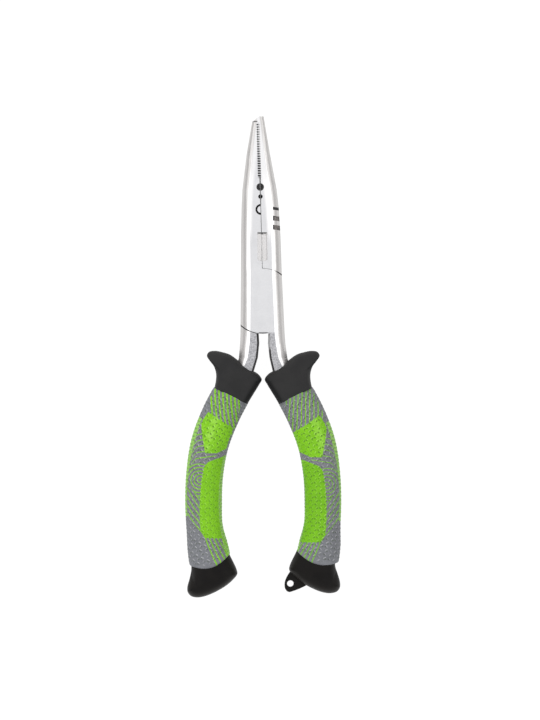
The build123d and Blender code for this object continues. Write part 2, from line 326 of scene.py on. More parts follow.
def seam_shade(place):
    """Painted shade in the jaws, in black: the seam's walls, teeth, crimp ring and hook, and the
    pockets, where it lies over a darker floor.
    """
    x, y, right_of_seam = place.x, place.y, place.right_of_seam
    in_jaws = y.above(CUTTER_TOP_Y) * y.below(TEETH_END_Y)
    near_crimp = (y - 41.3).size().below(2.6)
    walls = (-place.from_seam + near_crimp * 1.4).above(-1.25) * in_jaws
    walls = walls * place.facing.fall(*WALL_FACING)
    sunk = place.from_seam.below(2.6) * place.depth.fall(0.7, 0.85) * in_jaws

    hook = (y - HOOK_Y).size().below(0.28) * right_of_seam.below(-0.5)
    hook = hook * x.above(HOOK_END_X)

    valley = ((y - FIRST_VALLEY_Y) / TOOTH_PITCH).to_nearest() * TOOTH_PITCH
    valley = valley.fall(0.30, 0.47) * (right_of_seam + 0.20).size().fall(0.60, 0.82)
    valley = valley * y.ramp(55.0, 56.0) * y.fall(TEETH_END_Y - 0.6, TEETH_END_Y)

    from_crimp = (right_of_seam * right_of_seam + (y - CRIMP_Y) * (y - CRIMP_Y)).math("SQRT")
    ring = (from_crimp - CRIMP_RING_RADIUS).size().fall(0.36, 0.52) * right_of_seam.fall(0.0, 0.25)
    parting = place.from_seam.fall(0.16, 0.34) * y.ramp(43.0, 43.6) * y.fall(56.0, 57.0)

    black = largest(walls, sunk, hook * 0.85, valley * (y.ramp(62.0, 71.0) * -0.5 + 1.0),
                    ring * 0.95, parting * 0.9)
    # The pockets: painted shade in their depth, over a floor of darker steel
    for centre_x, centre_y, radius in POCKETS:
        across = (x - centre_x) * (x - centre_x) + (y - centre_y) * (y - centre_y)
        inside = across.fall((radius - 0.02) ** 2, (radius + 0.12) ** 2)
        black = black.larger(inside * place.depth.fall(3.55, 3.75) * 0.93)
    return black


def lap_shade(place):
    """Painted shade, in black, on the lap joint's round wall and at its lower end."""
    x, y = place.x, place.y
    from_pivot = (x * x + y * y).math("SQRT")
    wall = (from_pivot - LAP_RADIUS).size().below(0.26)
    wall = wall * (x * y * (place.z - MID_Z)).above(0.0)
    shown = (y.below(0.0) * 3.6 + x.size()).ramp(5.4, 7.2)
    shown = shown * (x.size().ramp(5.0, 6.8) * 0.35 + 0.65)
    end = (y - LAP_END[1]).size().below(0.42) * (x - LAP_END[0]).size().below(2.2)
    return (wall * shown).larger(end * 0.9)


def shank_inner_sides(place):
    """The sides of the shanks that face each other: the part painted black as shade, and the rest
    painted a grey shade.
    """
    x, y = place.x, place.y
    below_lap = y + 14.6
    inner = place.facing.fall(*INNER_SIDE_FACING) * place.shank
    inner = inner * (x + 4.4 - below_lap * 0.12).above(0.0)
    inner = inner * (-x + 4.6 - below_lap * 0.10).above(0.0)
    dark_part = x.below(0.0).larger(y.fall(-22.5, -20.5))
    return inner * dark_part, inner * dark_part.inverse()


def cutter_window(place):
    """The cutter's sunk window, and the painted shade, in black, along its top and sides, a little
    darker to the right.
    """
    inside = (place.from_seam.below(2.35) * place.depth.fall(4.3, 4.45)
              * place.y.below(CUTTER_TOP_Y))
    # Painted shadow under the window's top wall and painted shade at its sides, a little darker to
    # the right
    top = inside * place.y.ramp(CUTTER_TOP_Y - 0.75, CUTTER_TOP_Y - 0.35) * 0.85
    window = inside * place.y.ramp(CUTTER_BOTTOM_Y - 0.1, CUTTER_BOTTOM_Y + 0.1)
    sides = (place.from_seam.ramp(1.95, 2.2) * 0.6).larger(
        place.right_of_seam.ramp(-0.4, 1.8) * 0.07)
    return window, top.larger(window * sides)


def jaw_grooves(steel, place):
    """The three grooves across the right jaw, and their colour: black, rubbed to brown."""
    x, y = place.x, place.y
    groove = largest(*(
        (y - centre_y - (x - 6.0) * GROOVE_LEAN).size().fall(half_width - 0.02, half_width + 0.12)
        for centre_y, half_width in GROOVES))
    groove = groove * x.above(GROOVE_START_X) * place.z.above(MID_Z + 0.5)
    rubbed = steel.noise(0.7).ramp(0.3, 0.62) * y.fall(39.0, 41.0)
    rubbed = rubbed * x.fall(7.0, 7.9) * x.ramp(4.9, 5.5)
    return groove, steel.mix(rubbed, STEEL_SHADE_AND_BLACKENING, STEEL_GROOVE)


def forged_steel():
    """Satin ground flats, coarser on the shanks, with polished rounded shoulders.

    Painted shade in black lies on the walls inside the seam, the teeth, the lap joint's line, part
    of the shanks' facing sides and the top of the cutter window; in the pockets it lies over a
    floor of darker steel. The grooves are blackened steel, rubbed to brown.
    """
    steel = Surface("forged_steel", Metallic=1.0)
    place = Forging(steel)
    fine = steel.noise(0.30, detail=4.0)
    cloud = steel.noise(5.0, stretch=(1, 1.6, 1))
    brushed = steel.noise(0.16, stretch=(9, 1, 1), detail=2.0)
    polish = steel.noise(0.5, stretch=(1, 60, 1))
    grain = fine.ramp(0.35, 0.68)

    # Painted shade on the shanks' facing sides: black on one part, grey on the rest
    inner_side_shade, inner_side_grey_shade = shank_inner_sides(place)
    window, window_shade = cutter_window(place)
    groove, groove_colour = jaw_grooves(steel, place)
    # Painted shade, in black: seam, teeth, lap line, the shanks' facing sides and the window's top
    # and sides
    black = largest(seam_shade(place), lap_shade(place), inner_side_shade, window_shade)

    colour = steel_ground(steel, place, grain, cloud, polish, brushed)
    colour = steel.mix(window, colour, STEEL_WINDOW)
    colour = steel.mix(groove, colour, groove_colour)
    colour = steel.mix(inner_side_grey_shade, colour, STEEL_INNER_SIDE_SHADE)
    colour = steel.mix(black, colour, STEEL_SHADE_AND_BLACKENING)
    steel.set("Base Color", colour)

    flat = place.facing.ramp(*FLAT_FACING)
    flat_rough = grain * 0.10 + place.shank * 0.06 + cloud * 0.06 + 0.36
    shoulder_rough = polish.ramp(0.3, 0.8) * 0.12 + place.y.fall(-25.0, -20.0) * 0.26 + 0.16
    rough = flat * flat_rough + flat.inverse() * shoulder_rough
    dull = largest(black, groove, inner_side_grey_shade)
    steel.set("Roughness", rough.larger(dull * 0.65))
    steel.set("Metallic", dull * -0.9 + 1.0)
    relief = flat * (fine * (place.shank * 1.3 + 0.3) + brushed * 0.3) + polish * 0.2
    steel.bump(relief, 0.035)
    return steel.material


# ---------------------------------------------------------------- plastics and rubber

CORE_DARK = (0.02, 0.02, 0.02)
CORE_LIGHT = (0.035, 0.035, 0.035)
GUARD_DARK = (0.0105, 0.0105, 0.011)
GUARD_LIGHT = (0.020, 0.0195, 0.0195)
CAP_DARK = (0.0028, 0.0024, 0.0023)
CAP_LIGHT = (0.0078, 0.0066, 0.0057)


def core_plastic():
    plastic = Surface("core_plastic", Roughness=0.5)
    plastic.set("Base Color", plastic.mix(plastic.noise(1.2), CORE_DARK, CORE_LIGHT))
    return plastic.material


def black_moulding(name, dark, light, roughness, shine, grain_mm, grain_depth, under_rim_shading):
    """Black moulded plastic with a fine spark-eroded grain, rubbed paler in soft clouds.

    Rims that face up the handle get a painted highlight. Rims that face down it are darker or
    paler by the last argument: painted shade on the guards, a paler painted rim on the caps.
    """
    plastic = Surface(name)
    grain = plastic.noise(grain_mm, detail=2.0)
    cloud = plastic.noise(7.0, detail=2.0)
    scuff = plastic.noise(0.5, stretch=(1, 5, 1), detail=4.0).ramp(0.62, 0.8)
    _, facing_up, facing_out = plastic.axes("Normal")
    rim = facing_out.size().fall(0.72, 0.985)
    # Painted highlight on rims that face up the handle; on rims that face down it, painted shade on
    # the guards and paler paint on the caps
    under = rim * facing_up.fall(-0.5, -0.05)
    upper = rim * facing_up.ramp(0.1, 0.8)
    tone = cloud.ramp(0.3, 0.7) * 0.45 + grain * 0.3 + scuff * 0.2 + upper * 0.6
    tone = tone + under * under_rim_shading
    plastic.set("Base Color", plastic.mix(tone, dark, light))
    plastic.set("Roughness", grain * 0.10 + cloud * 0.08 - scuff * 0.06 + roughness)
    plastic.set("Specular IOR Level", under * (0.75 * under_rim_shading * shine) + shine)
    plastic.bump(grain, grain_depth)
    return plastic.material


GRIP_GREEN = (0.168, 0.440, 0.004)
GRIP_GREEN_DEEP = (0.120, 0.345, 0.002)
# Painted highlight on the green tread's tips and in the sheen
GRIP_GREEN_HIGHLIGHT = (0.42, 0.72, 0.13)
GRIP_GREY = (0.162, 0.166, 0.182)
GRIP_GREY_DARK = (0.112, 0.115, 0.128)
# Painted highlight on the grey tread's tips
GRIP_GREY_HIGHLIGHT = (0.40, 0.405, 0.42)
GRIP_MARGIN = (0.225, 0.46, 0.075)
GRIP_SHADE = (0.035, 0.055, 0.02)

# The print, in millimetres: how far apart its lines are and how wide
STRIPE_PITCH = 2.05
STRIPE_HALF_WIDTH = 0.46
STRIPES_THINNER_ON_RIGHT = 0.21
RING_CENTRE = (2.0, 39.1)
RING_PITCH = 1.5
RING_REACH = 7.4
RING_REACH_BELOW = 3.4
SWEEP_PITCH = 2.72
SWEEP_START, SWEEP_END = 17.5, 31.4
LOWER_PITCH = 3.5
LOWER_SPACING = 1.95
FAN_TOP = 63.5
FAN_SPACING = 1.8


def line_set(order, spacing, half_width):
    """Lines wherever order is a whole number, this far apart; positive inside them."""
    return order.to_nearest() * -spacing + half_width


def grip_print(p, s, on_right):
    """The green print and its pale margins, as fields that are positive inside, in
    millimetres. Each shape is the smallest of its distances to its own edges."""
    stripe_order = (p + s * 0.6 - 1.55 + on_right * 0.7) / STRIPE_PITCH
    stripes = smallest(
        line_set(stripe_order, STRIPE_PITCH, STRIPE_HALF_WIDTH)
        - on_right * STRIPES_THINNER_ON_RIGHT,
        -s + 16.0, -p + 7.9, (-p - s * 0.5 + on_right * 2.0 + 10.4) * 0.9,
        p + s * 0.33 + 5.4, p + 7.7)
    shield = smallest(
        s + p * 0.19 - 10.8, -p + 7.0, p + on_right * 1.4 + 7.25, (s - p * 4.0 + 14.1) * 0.24,
        (-p - s * 0.478 + 14.4) * 0.9, -s + p * 0.22 + 26.7, (-s + p * 0.82 + 28.8) * 0.77)
    panel = smallest(
        -p + s * 0.04 - 0.45, p + on_right * 1.2 + 6.9, (s - p * 1.85 - 31.6) * 0.48,
        (s - p * 0.635 - 31.0) * 0.84, (-s - p * 2.3 + 66.3) * 0.4, -s - p * 0.24 + 65.0)

    across = p - RING_CENTRE[0]
    along = s - RING_CENTRE[1]
    radius = (across * across + along * along).math("SQRT")
    line_half_width = on_right * -0.06 + 0.21
    panel_side = p - s * 0.02 + 0.8
    above_cut = (-s - p * 1.35 + 50.6).larger(-radius + RING_REACH_BELOW)
    rings = smallest(
        line_set((radius + 0.5) / RING_PITCH, RING_PITCH, line_half_width),
        -radius + RING_REACH, above_cut, panel_side)
    bend = (p - 4.5).larger(0.0)
    sweep = s - p * 0.36 - bend * bend * s.ramp(17.0, 33.0) * 0.42 + 1.6
    sweeps = smallest(
        line_set((sweep - 19.1) / SWEEP_PITCH, SWEEP_PITCH, line_half_width),
        sweep - SWEEP_START, -sweep + SWEEP_END, p + 3.6)
    slant = s + p * 1.5
    lower_lines = smallest(
        line_set((slant - 54.0) / LOWER_PITCH, LOWER_SPACING, line_half_width),
        slant - 48.8, -slant + 66.0, radius - 5.8, panel_side)
    lines = largest(rings, sweeps, lower_lines).smaller(-p + 7.4)

    fan_order = (-p + 0.33 - (s - 65.0) * 0.17) / ((s - 65.0) * 0.035 + 1.72)
    fan = smallest(
        line_set(fan_order, FAN_SPACING, on_right * -0.05 + 0.25), s - FAN_TOP, fan_order + 0.3)

    outer_margin = smallest(p - 7.35, s - 13.0, -s + 55.0)
    inner_margin = (-p - on_right * 1.4 - 6.7).smaller(s - 26.0)
    return largest(stripes, shield, panel, lines, fan), outer_margin.larger(inner_margin)


def grip_rubber():
    """Printed soft rubber: grey ground with leaf-green panels, stripes and ring lines.

    The print is laid out in p, millimetres outward across the handle, and s, millimetres
    down it. The tread's tips carry a painted highlight, and its nicks and trenches painted
    shade, as if lit from the upper left.
    """
    rubber = Surface("grip_rubber", Specular_IOR_Level=0.22)
    p, s, side = rubber.attribute("print")
    bar, trench, nick = rubber.attribute("relief")
    on_right = side.above(0.0)
    green, margin = grip_print(p, s, on_right)

    cloud = rubber.noise(3.5, detail=2.0)
    fleck = rubber.noise(0.55, detail=2.0)
    dash = ((s - p * 0.6) / 1.55).to_nearest()
    speckle = (fleck * 0.6 + dash * 0.8).ramp(0.52, 0.66)
    tip = bar.ramp(0.12, 0.75)
    # Where the tread's painted highlight is brightest, and below it how strong the tread's painted
    # shade and highlight are down the handle
    lit = p.ramp(-7.0, 1.5) * p.fall(3.5, 8.0)
    tread_shading = s.fall(26.0, 31.0).larger(on_right * s.fall(62.0, 68.0) * 0.3 + 0.5)

    grey = rubber.mix(cloud.ramp(0.3, 0.7) * 0.5 + fleck * 0.25, GRIP_GREY, GRIP_GREY_DARK)
    grey = rubber.mix(tip * 0.72, grey, GRIP_GREY_HIGHLIGHT)
    deeper = cloud.ramp(0.35, 0.75) * 0.5 + on_right * s.ramp(26.0, 31.0) * 0.55
    leaf = rubber.mix(deeper, GRIP_GREEN, GRIP_GREEN_DEEP)
    # The sheen is a painted highlight down the middle of the upper grip
    sheen = (p - on_right * 1.5 - 1.5).size().fall(0.3, 2.4)
    sheen = sheen * s.ramp(7.0, 13.0) * s.fall(22.0, 29.0) * cloud.ramp(0.3, 0.6)
    sheen = sheen * (nick * -0.8 + 1.0) * (on_right * -0.12 + 0.42)
    leaf = rubber.mix(sheen.larger(tip * (lit * tread_shading * 0.52 + 0.16)), leaf, GRIP_GREEN_HIGHLIGHT)
    pale = rubber.mix(speckle * 0.45, GRIP_MARGIN, GRIP_GREY_DARK)
    colour = rubber.mix(margin.ramp(-0.1, 0.3), grey, pale)
    colour = rubber.mix(green.ramp(-0.06, 0.06), colour, leaf)
    # Painted shade in the trenches round the bars and in the nick below each
    shade = (trench * 0.12 + nick * (tread_shading * 0.55 + 0.18)).smaller(0.75)
    colour = rubber.mix(shade, colour, GRIP_SHADE)
    rubber.set("Base Color", colour)
    rubber.set("Roughness", fleck * 0.12 + cloud * 0.06 - tip * 0.08 + 0.40)
    rubber.bump(fleck + rubber.noise(0.12, detail=1.0) * 0.5, 0.02)
    return rubber.material


# ---------------------------------------------------------------- mesh helpers


def make_object(name, vertices, faces, material):
    """A smooth-shaded mesh object from millimetre coordinates."""
    mesh = bpy.data.meshes.new(name)
    mesh.from_pydata((np.asarray(vertices) * MM).tolist(), [], faces)
    mesh.materials.append(material)
    mesh.polygons.foreach_set("use_smooth", [True] * len(mesh.polygons))
    mesh.update()
    piece = bpy.data.objects.new(name, mesh)
    bpy.context.scene.collection.objects.link(piece)
    return piece


def tidy_normals(piece):
    """Points every face outward."""
    mesh = bmesh.new()
    mesh.from_mesh(piece.data)
    bmesh.ops.recalc_face_normals(mesh, faces=mesh.faces)
    mesh.to_mesh(piece.data)
    mesh.free()


def write_attribute(piece, name, first, second, third):
    """Stores three values for each vertex, for the materials to read."""
    values = np.stack([first, second, third], axis=-1).reshape(-1).astype(np.float32)
    layer = piece.data.attributes.new(name, "FLOAT_VECTOR", "POINT")
    layer.data.foreach_set("vector", values)


def grid_faces(rows, columns, first=0):
    """Quads joining rows of points; each row is a closed ring."""
    faces = []
    for row in range(rows - 1):
        here = first + row * columns
        above = here + columns
        for column in range(columns):
            following = (column + 1) % columns
            faces.append((here + column, here + following, above + following, above + column))
    return faces


def smooth_curve(knots, values, at):
    """Smooth interpolation through a few knots."""
    knots = np.asarray(knots, float)
    values = np.asarray(values, float)
    slopes = np.gradient(values, knots)
    index = np.clip(np.searchsorted(knots, at) - 1, 0, len(knots) - 2)
    span = knots[index + 1] - knots[index]
    t = np.clip((at - knots[index]) / span, 0, 1)
    low, high = values[index], values[index + 1]
    tangent_low, tangent_high = slopes[index] * span, slopes[index + 1] * span
    return ((2 * t**3 - 3 * t**2 + 1) * low + (t**3 - 2 * t**2 + t) * tangent_low
            + (-2 * t**3 + 3 * t**2) * high + (t**3 - t**2) * tangent_high)


def closed_curve(points, count):
    """Evenly spaced points on a closed centripetal Catmull-Rom curve."""
    points = np.asarray(points, float)
    size = len(points)
    dense = []
    for i in range(size):
        p0, p1, p2, p3 = (points[(i + k - 1) % size] for k in range(4))
        knots = [0.0]
        for a, b in ((p0, p1), (p1, p2), (p2, p3)):
            knots.append(knots[-1] + max(np.linalg.norm(b - a), 1e-6) ** 0.5)
        t0, t1, t2, t3 = knots
        for t in np.linspace(t1, t2, 40, endpoint=False):
            a1 = (t1 - t) / (t1 - t0) * p0 + (t - t0) / (t1 - t0) * p1
            a2 = (t2 - t) / (t2 - t1) * p1 + (t - t1) / (t2 - t1) * p2
            a3 = (t3 - t) / (t3 - t2) * p2 + (t - t2) / (t3 - t2) * p3
            b1 = (t2 - t) / (t2 - t0) * a1 + (t - t0) / (t2 - t0) * a2
            b2 = (t3 - t) / (t3 - t1) * a2 + (t - t1) / (t3 - t1) * a3
            dense.append((t2 - t) / (t2 - t1) * b1 + (t - t1) / (t2 - t1) * b2)
    dense = np.array(dense + dense[:1])
    lengths = np.concatenate([[0], np.cumsum(np.linalg.norm(np.diff(dense, axis=0), axis=1))])
    even = np.linspace(0, lengths[-1], count, endpoint=False)
    return np.stack([np.interp(even, lengths, dense[:, axis]) for axis in (0, 1)], axis=1)


def cut_below(piece, point, normal):
    """Removes what lies on the side the normal points to, and closes the cut."""
    mesh = bmesh.new()
    mesh.from_mesh(piece.data)
    cut = bmesh.ops.bisect_plane(
        mesh, geom=mesh.verts[:] + mesh.edges[:] + mesh.faces[:],
        plane_co=Vector(point) * MM, plane_no=Vector(normal), clear_outer=True)
    rim = [e for e in cut["geom_cut"] if isinstance(e, bmesh.types.BMEdge)]
    bmesh.ops.holes_fill(mesh, edges=rim, sides=0)
    bmesh.ops.recalc_face_normals(mesh, faces=mesh.faces)
    mesh.to_mesh(piece.data)
    mesh.free()


# ---------------------------------------------------------------- handle coordinates


def handle_points(side, p, s, z):
    """World coordinates, in millimetres, of points p across, s down and z through a handle."""
    turn = radians(SLEEVE_TOP_ANGLE) - s / ARC_RADIUS
    reach = ARC_RADIUS + p
    return np.stack([
        AXIS_X + side * (reach * np.cos(turn) - ARC_OFFSET),
        ARC_Y + reach * np.sin(turn),
        MID_Z + z,
    ], axis=-1)


def handle_frame(side, s):
    """Centre, outward direction and downward direction of a handle at arc length s."""
    turn = radians(SLEEVE_TOP_ANGLE) - s / ARC_RADIUS
    centre = (AXIS_X + side * (ARC_RADIUS * cos(turn) - ARC_OFFSET), ARC_Y + ARC_RADIUS * sin(turn))
    return (*centre, MID_Z), (side * cos(turn), sin(turn), 0), (side * sin(turn), -cos(turn), 0)


def handle_coordinates(side, x, y):
    """How far outward across a handle, and down it, places on the front view are."""
    outward = (x - AXIS_X) * side + ARC_OFFSET
    turn = np.arctan2(y - ARC_Y, outward)
    p = np.hypot(outward, y - ARC_Y) - ARC_RADIUS
    return p, (radians(SLEEVE_TOP_ANGLE) - turn) * ARC_RADIUS


# ---------------------------------------------------------------- grips

SLEEVE_AROUND = 234
SLEEVE_ALONG = 352
SLEEVE_LENGTH = 78.0
SLEEVE_SQUARENESS = 2.25
LUG_COLUMNS = 26
LUG_PITCH = 1.68
LUG_LENGTH = 0.98
LUG_WIDTH = 0.34
LUG_HEIGHT = 0.36
LUG_LOWER_LEAN = 0.62
TRENCH_DEPTH = 0.07
NICK_DEPTH = 0.16
FADE_AT_TOP, FADE_AT_END = 0.012, 0.02
PRINT_DROP = {LEFT: 0.0, RIGHT: 1.9}

# Where the grip ends: under the guard on a leaning line, over the cap on a curved lip
GUARD_LINE = -0.87
GUARD_LINE_LEAN = 0.06
SLEEVE_END = 78.5
SLEEVE_TRIM = {LEFT: 0.0, RIGHT: -1.7}
END_DROP = {LEFT: 2.9, RIGHT: 2.4}
END_DROP_CENTRE = 0.8
END_DROP_REACH = 9.3
END_FLARE = {LEFT: 0.0, RIGHT: 0.4}
END_FLARE_START = 60
END_FLARE_LENGTH = 10
LIP_RADIUS = 0.9
LIP_WIDTH = 8.8
LIP_ANGLES = (12, 25, 38, 52, 65, 78, 90, 108, 130)

# Rings that close the two ends: share of the section's size, and how far down it moves
TOP_RINGS = ((0.80, 0.8), (0.93, 0.0), (0.975, -0.28), (0.995, -0.18))
LAST_RING = (0.80, -0.6)


def sleeve_half_widths(s):
    """Half width of the grip on its outer and inner side, and its half thickness."""
    knots = (0, 12, 24, 38, 52, 64, 72, 78)
    outer = smooth_curve(knots, (8.7, 9.0, 9.15, 8.5, 8.2, 8.55, 9.55, 10.25), s)
    inner = smooth_curve(knots, (8.3, 8.2, 7.9, 8.1, 8.3, 8.0, 8.7, 8.75), s)
    thick = smooth_curve(knots, (7.35, 7.4, 7.4, 7.3, 7.3, 7.4, 7.7, 7.75), s)
    return outer, inner, thick


def section_ring(count):
    """Unit superellipse sampled evenly along its length, starting at the outer side."""
    t = np.linspace(0, 2 * pi, 4000)
    x = np.sign(np.cos(t)) * np.abs(np.cos(t)) ** (2 / SLEEVE_SQUARENESS)
    z = np.sign(np.sin(t)) * np.abs(np.sin(t)) ** (2 / SLEEVE_SQUARENESS)
    length = np.concatenate([[0], np.cumsum(np.hypot(np.diff(x), np.diff(z)))])
    even = np.linspace(0, length[-1], count, endpoint=False)
    return np.interp(even, length, x), np.interp(even, length, z)


def scatter(column, row):
    """A number from 0 to 1 for each cell of the tread, the same on every run."""
    value = np.sin(column * 12.9898 + row * 78.233) * 43758.5453
    return value - np.floor(value)


def lug_relief(column, row):
    """The embossed tread: short bars in alternating diagonals, with a shallow trench round
    each and a deeper nick on its lower side. All three run from 0 to 1."""
    cell_x, cell_y = np.floor(column), np.floor(row)
    dx = (column - cell_x - 0.5) * 2.0
    dy = (row - cell_y - 0.5) * LUG_PITCH
    lean = np.where((cell_x + cell_y) % 2 == 0, 1.0, -1.0)
    along = (dx + lean * dy) / 2**0.5
    across = (dy - lean * dx) / 2**0.5
    reach = (along / LUG_LENGTH) ** 2 + (across / LUG_WIDTH) ** 2
    pick = scatter(cell_x, cell_y)
    bar = np.clip(1 - reach, 0, 1)
    bar = bar * bar * (3 - 2 * bar) * np.where(lean > 0, 1.0, LUG_LOWER_LEAN)
    bar = bar * (0.68 + 0.32 * pick)
    trench = np.clip(1 - np.abs(reach - 2.0) / 1.4, 0, 1)
    nick = np.clip(1.3 - ((across - 0.62) / 0.30) ** 2 - ((along - 0.15) / 0.50) ** 2, 0, 1)
    nick = nick * np.clip((pick + 0.15) / 0.5, 0.3, 1)
    return bar, trench, nick


def grip_sleeve(side, material):
    """The curved grip, embossed all over, with a rounded lip where it laps the end cap."""
    unit_x, unit_z = section_ring(SLEEVE_AROUND)
    v = np.linspace(0, 1, SLEEVE_ALONG)[:, None]
    nominal = v * SLEEVE_LENGTH
    outer, inner, thick = sleeve_half_widths(nominal)
    outer = outer + END_FLARE[side] * np.clip((nominal - END_FLARE_START) / END_FLARE_LENGTH, 0, 1)
    p = unit_x * np.where(unit_x > 0, outer, inner)
    top = GUARD_LINE + GUARD_LINE_LEAN * p
    droop = END_DROP[side] * ((p - END_DROP_CENTRE) / END_DROP_REACH) ** 2
    end = SLEEVE_END + SLEEVE_TRIM[side] - LIP_RADIUS - droop
    s = top + v * (end - top)
    z = unit_z * thick

    plain = handle_points(side, p, s, z)
    along = np.gradient(plain, axis=0)
    around = (np.roll(plain, -1, axis=1) - np.roll(plain, 1, axis=1)) / 2
    outward = np.cross(along, around) * side
    outward /= np.linalg.norm(outward, axis=-1, keepdims=True)

    column = np.arange(SLEEVE_AROUND)[None, :] / SLEEVE_AROUND * LUG_COLUMNS + 0.5
    fade = np.clip(v / FADE_AT_TOP, 0, 1) * np.clip((1 - v) / FADE_AT_END, 0, 1)
    relief = [part * fade for part in lug_relief(column, s / LUG_PITCH)]
    height = relief[0] * LUG_HEIGHT - relief[1] * TRENCH_DEPTH - relief[2] * NICK_DEPTH
    at_silhouette = 0.5 + 0.5 * np.clip(np.abs(unit_z) / 0.5, 0, 1)
    body = plain + outward * (height * at_silhouette)[..., None]

    def end_ring(row, centre, shrink, advance):
        ring_p = centre + (p[row] - centre) * shrink
        return handle_points(side, ring_p, s[row] + advance, z[row] * shrink)

    middle = (outer[-1] - inner[-1]) / 2
    lip = [(1 - LIP_RADIUS * (1 - cos(angle)) / LIP_WIDTH, LIP_RADIUS * sin(angle))
           for angle in np.radians(LIP_ANGLES)]
    head = [end_ring(0, 0.0, *ring) for ring in TOP_RINGS]
    tail = [end_ring(-1, middle, *ring) for ring in (*lip, LAST_RING)]
    points = np.concatenate([*head, body.reshape(-1, 3), *tail])
    rows = len(points) // SLEEVE_AROUND
    faces = grid_faces(rows, SLEEVE_AROUND)
    faces.append(tuple(reversed(range(SLEEVE_AROUND))))
    faces.append(tuple(range((rows - 1) * SLEEVE_AROUND, rows * SLEEVE_AROUND)))
    piece = make_object(SIDE_NAMES[side] + "_grip", points, faces, material)
    tidy_normals(piece)

    end_rows = ((len(head), len(tail)), (0, 0))
    print_p = np.pad(p, end_rows, mode="edge")
    print_s = np.pad(s - PRINT_DROP[side] * np.clip((s - 5) / 8, 0, 1), end_rows, mode="edge")
    write_attribute(piece, "print", print_p, print_s, np.full_like(print_p, side))
    write_attribute(piece, "relief", *(np.pad(part, end_rows) for part in relief))
    return piece


# ---------------------------------------------------------------- guards and caps

OUTLINE_POINTS = 200
PILLOW_RINGS = 26
PILLOW_CROWN = 2.6

# Finger guard, by distance from the symmetry plane: wing, outer side, then down inside
# the grip, back up the inner side, over the inner tip and along the top
GUARD_OUTLINE = (
    (25.45, -24.5), (24.2, -26.8), (22.3, -29.3), (21.3, -32.6), (21.4, -36.0), (22.3, -40.0),
    (24.0, -45.5), (9.8, -51.5), (6.6, -45.5), (1.7, -37.4), (0.65, -35.3), (1.9, -33.2),
    (4.0, -31.7), (6.3, -30.8), (8.7, -29.0), (11.2, -26.8), (15.1, -24.0), (18.6, -22.9),
    (21.6, -22.35), (24.4, -22.8),
)
GUARD_CENTRE = (13.6, -35.2)
GUARD_HALF_HEIGHT = 6.9
GUARD_FULLNESS = 5.2
WING_TIP = (24.5, -23.6)
WING_THINNEST = 0.62
WING_REACH = 13.0

# End cap, the same way: outer side, round the bottom, and up inside the grip
CAP_OUTLINE = (
    (32.4, -119.0), (32.5, -121.5), (33.2, -125.0), (34.2, -128.7), (34.1, -131.0),
    (32.7, -132.8), (30.4, -133.5), (27.2, -133.2), (22.7, -131.6), (17.0, -128.4),
    (13.4, -125.3), (11.7, -123.0), (12.0, -121.0), (15.2, -114.2), (18.0, -108.0),
    (31.5, -112.5),
)
CAP_CENTRE = (24.0, -121.5)
CAP_HALF_HEIGHT = 7.55
CAP_FULLNESS = 5.4
CAP_RISE = {LEFT: 0.0, RIGHT: 1.9}
CAP_FLARE = {LEFT: 0.0, RIGHT: 0.45}
CAP_FLARE_FROM = 32.6
CAP_START = 74.6
NECK_END = 84.5
NECK_LENGTH = 6.0
NECK_CENTRE = 0.6
NECK_HALF_WIDTH = 10.4
NECK_THICKNESS = 0.93
NECK_SQUARENESS = 2.4

EAR_OUTLINE = (
    (16.5, -117.0), (12.9, -121.3), (10.6, -125.0), (9.95, -127.4), (10.3, -129.8),
    (11.8, -131.1), (14.0, -130.6), (19.3, -128.35), (23.5, -125.5), (22.0, -119.0),
)
EAR_RINGS = 40
EAR_EDGE_ROUNDING = 0.28
EAR_FACE_ROUNDING = 0.45


def pillow(name, outline, centre, half_height, fullness, height_at, material):
    """A closed rounded form over an outline: full in the middle, rolled over at the rim.

    height_at gives the share of half_height that the form has at a place.
    """
    rim = closed_curve(outline, OUTLINE_POINTS)
    centre = np.asarray(centre, float)
    steps = np.linspace(0, pi / 2, PILLOW_RINGS + 1)[1:]
    spread = np.sin(steps) ** (2 / fullness)
    rise = np.cos(steps) ** (2 / PILLOW_CROWN)
    rise[-1] = 0
    layers = []
    for share, level in zip(spread, rise):
        flat = centre + share * (rim - centre)
        layers.append((flat, half_height * level * height_at(flat[:, 0], flat[:, 1])))
    upper = [np.column_stack([flat, MID_Z + height]) for flat, height in layers]
    lower = [np.column_stack([flat, MID_Z - height]) for flat, height in layers[-2::-1]]
    crown = half_height * float(height_at(*centre))
    points = np.concatenate([[[*centre, MID_Z + crown]], *upper, *lower,
                             [[*centre, MID_Z - crown]]])
    faces = grid_faces(2 * PILLOW_RINGS - 1, OUTLINE_POINTS, first=1)
    last = len(points) - 1
    base = last - OUTLINE_POINTS
    for k in range(OUTLINE_POINTS):
        following = (k + 1) % OUTLINE_POINTS
        faces.append((0, 1 + following, 1 + k))
        faces.append((last, base + k, base + following))
    piece = make_object(name, points, faces, material)
    tidy_normals(piece)
    return piece


def mirrored(side, points, rise=0.0):
    """World coordinates of points given by their distance from the symmetry plane."""
    return [(AXIS_X + side * x, y + rise) for x, y in points]


